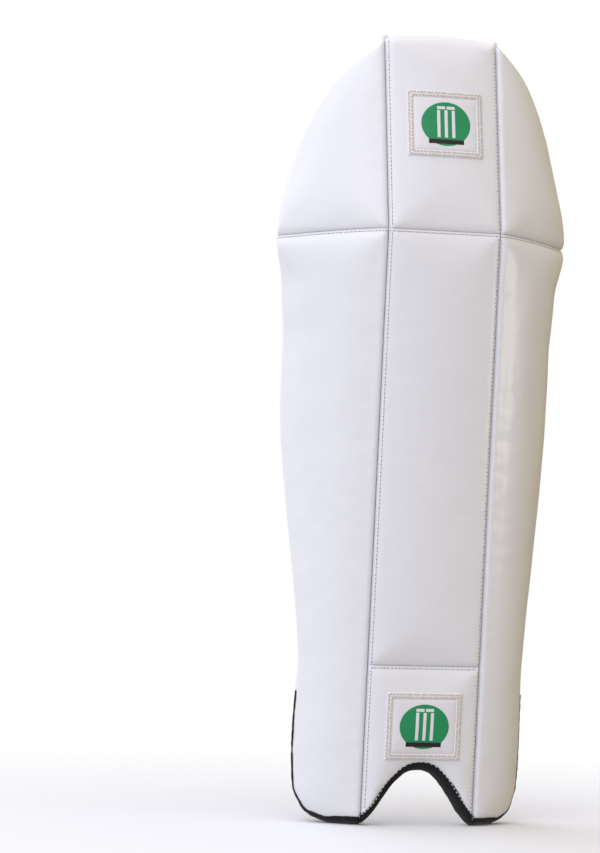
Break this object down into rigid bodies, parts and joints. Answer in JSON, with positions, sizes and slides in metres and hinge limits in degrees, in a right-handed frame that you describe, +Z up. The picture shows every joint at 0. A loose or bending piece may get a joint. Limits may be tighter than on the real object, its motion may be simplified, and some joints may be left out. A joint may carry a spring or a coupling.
{
  "type": "cricket leg pad",
  "caption": "White padded cricket leg pad with a knee seam, green and black padded leg side, and hook-and-loop straps that open behind the leg.",
  "frame": {"origin": "centre of the pad's box, at the floor that its two lobes stand on", "axes": "+Z up the leg to the crown, -Y out of the front that the ball hits, +Y the leg side, +X to the right seen from the front"},
  "size_m": [0.234, 0.0897, 0.6],
  "materials": {
    "white_cover": "satin",
    "white_lining": "satin",
    "green_lining": "satin",
    "black_cloth": "matte",
    "foam": "matte",
    "badge": "satin",
    "binding": "matte",
    "white_tag": "matte",
    "elastic": "matte",
    "webbing": "matte",
    "hook_and_loop": "matte"
  },
  "bodies": {
    "centre_panel": {"knee_cover_centre": "white_cover", "knee_foam_centre": "foam", "knee_lining_centre": "green_lining", "shin_cover_centre": "white_cover", "shin_foam_centre": "foam", "shin_lining_centre": "black_cloth", "instep_cover": "white_cover", "instep_foam": "foam", "instep_lining": "white_lining", "instep_binding": "binding", "centre_bolster_cover": "green_lining", "centre_bolster_fill": "foam", "centre_bolster_hem": "binding", "upper_badge": "badge", "lower_badge": "badge"},
    "left_wing": {"left_knee_cover": "white_cover", "left_knee_foam": "foam", "left_knee_lining": "green_lining", "left_knee_tag": "white_tag", "left_shin_cover": "white_cover", "left_shin_foam": "foam", "left_shin_lining": "black_cloth", "left_ankle_lining": "white_lining", "left_bolster_cover": "black_cloth", "left_bolster_fill": "foam", "left_binding": "binding"},
    "right_wing": {"right_knee_cover": "white_cover", "right_knee_foam": "foam", "right_knee_lining": "green_lining", "right_knee_tag": "white_tag", "right_shin_cover": "white_cover", "right_shin_foam": "foam", "right_shin_lining": "black_cloth", "right_ankle_lining": "white_lining", "right_bolster_cover": "black_cloth", "right_bolster_fill": "foam", "right_binding": "binding"},
    "upper_elastic_root": {"upper_elastic_root": "elastic"},
    "upper_elastic": {"upper_elastic": "elastic", "upper_loop_patch": "hook_and_loop"},
    "upper_webbing_root": {"upper_webbing_root": "webbing"},
    "upper_webbing": {"upper_webbing": "webbing", "upper_hook_patch": "hook_and_loop"},
    "lower_elastic_root": {"lower_elastic_root": "elastic"},
    "lower_elastic": {"lower_elastic": "elastic", "lower_loop_patch": "hook_and_loop"},
    "lower_webbing_root": {"lower_webbing_root": "webbing"},
    "lower_webbing": {"lower_webbing": "webbing", "lower_hook_patch": "hook_and_loop"}
  },
  "joints": [
    {"name": "left_wing_fold", "type": "hinge", "parent": "centre_panel", "child": "left_wing", "pos_m": [-0.0445, -0.03088, 0.3], "axis": [0, 0, -1], "range_deg": [0, 12]},
    {"name": "right_wing_fold", "type": "hinge", "parent": "centre_panel", "child": "right_wing", "pos_m": [0.0445, -0.03088, 0.3], "axis": [0, 0, 1], "range_deg": [0, 12]},
    {"name": "upper_elastic_root_flex", "type": "hinge", "parent": "right_wing", "child": "upper_elastic_root", "pos_m": [0.1029, 0.03898, 0.382], "axis": [0, 0, -1], "range_deg": [0, 12]},
    {"name": "upper_webbing_root_flex", "type": "hinge", "parent": "left_wing", "child": "upper_webbing_root", "pos_m": [-0.1029, 0.03898, 0.382], "axis": [0, 0, 1], "range_deg": [0, 12]},
    {"name": "upper_strap_open", "type": "hinge", "parent": "upper_webbing_root", "child": "upper_webbing", "pos_m": [-0.09415, 0.04488, 0.382], "axis": [0, 0, 1], "range_deg": [0, 110]},
    {"name": "upper_elastic_open", "type": "hinge", "parent": "upper_elastic_root", "child": "upper_elastic", "pos_m": [0.09415, 0.04088, 0.382], "axis": [0, 0, -1], "range_deg": [0, 66]},
    {"name": "lower_elastic_root_flex", "type": "hinge", "parent": "right_wing", "child": "lower_elastic_root", "pos_m": [0.08452, 0.02981, 0.126], "axis": [0, 0, -1], "range_deg": [0, 12]},
    {"name": "lower_webbing_root_flex", "type": "hinge", "parent": "left_wing", "child": "lower_webbing_root", "pos_m": [-0.08452, 0.02981, 0.126], "axis": [0, 0, 1], "range_deg": [0, 12]},
    {"name": "lower_strap_open", "type": "hinge", "parent": "lower_webbing_root", "child": "lower_webbing", "pos_m": [-0.07577, 0.03571, 0.126], "axis": [0, 0, 1], "range_deg": [0, 110]},
    {"name": "lower_elastic_open", "type": "hinge", "parent": "lower_elastic_root", "child": "lower_elastic", "pos_m": [0.07577, 0.03171, 0.126], "axis": [0, 0, -1], "range_deg": [0, 66]}
  ],
  "couplings": [
    {"joint": "right_wing_fold", "follows": "left_wing_fold", "ratio": 1},
    {"joint": "upper_elastic_root_flex", "follows": "left_wing_fold", "ratio": 1},
    {"joint": "upper_webbing_root_flex", "follows": "left_wing_fold", "ratio": 1},
    {"joint": "upper_elastic_open", "follows": "upper_strap_open", "ratio": 0.6},
    {"joint": "lower_elastic_root_flex", "follows": "left_wing_fold", "ratio": 1},
    {"joint": "lower_webbing_root_flex", "follows": "left_wing_fold", "ratio": 1},
    {"joint": "lower_elastic_open", "follows": "lower_strap_open", "ratio": 0.6}
  ]
}
